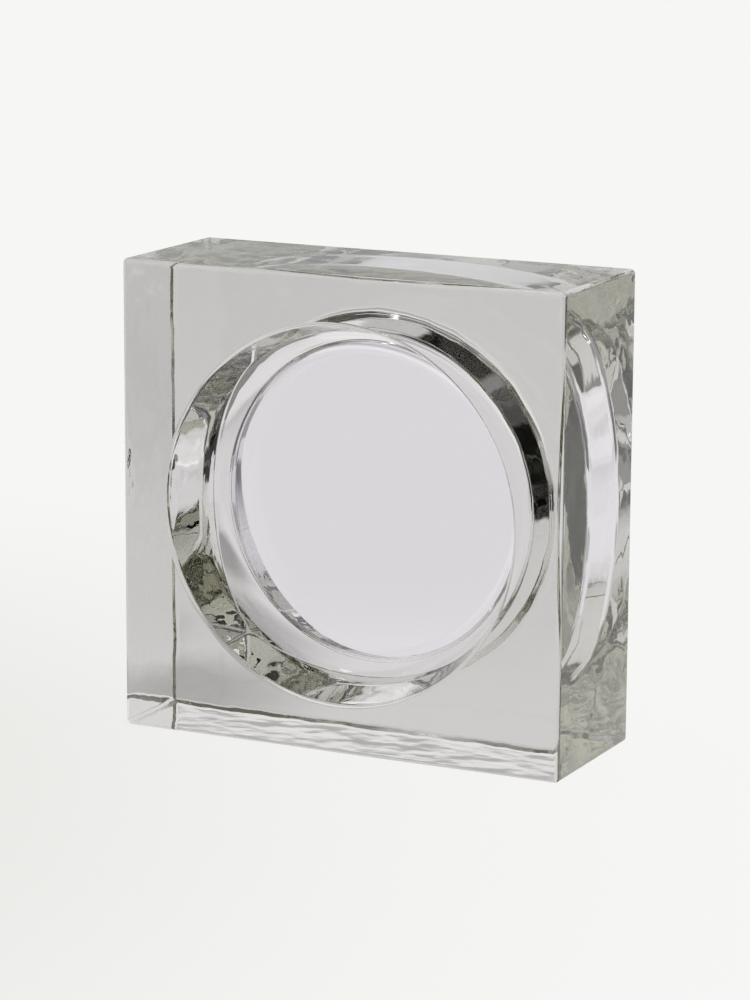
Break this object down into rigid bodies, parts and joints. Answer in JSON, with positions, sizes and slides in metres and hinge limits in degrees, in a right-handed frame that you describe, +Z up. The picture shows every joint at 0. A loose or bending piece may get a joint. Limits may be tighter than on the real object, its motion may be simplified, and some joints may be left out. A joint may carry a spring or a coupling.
{
  "type": "glass block",
  "caption": "Square clear-glass paver block with rounded edges and a round, flat-floored recess pressed into each broad face, standing on an edge.",
  "frame": {"origin": "centre of the edge face that the block stands on", "axes": "+X to the right as seen from the front, +Y through the thickness from the front, whose recess is the deeper, to the back, +Z up"},
  "size_m": [0.19, 0.07, 0.19],
  "materials": {
    "clear_glass": "clear, fire-polished"
  },
  "bodies": {
    "root": {"glass_block": "clear_glass"}
  },
  "joints": []
}
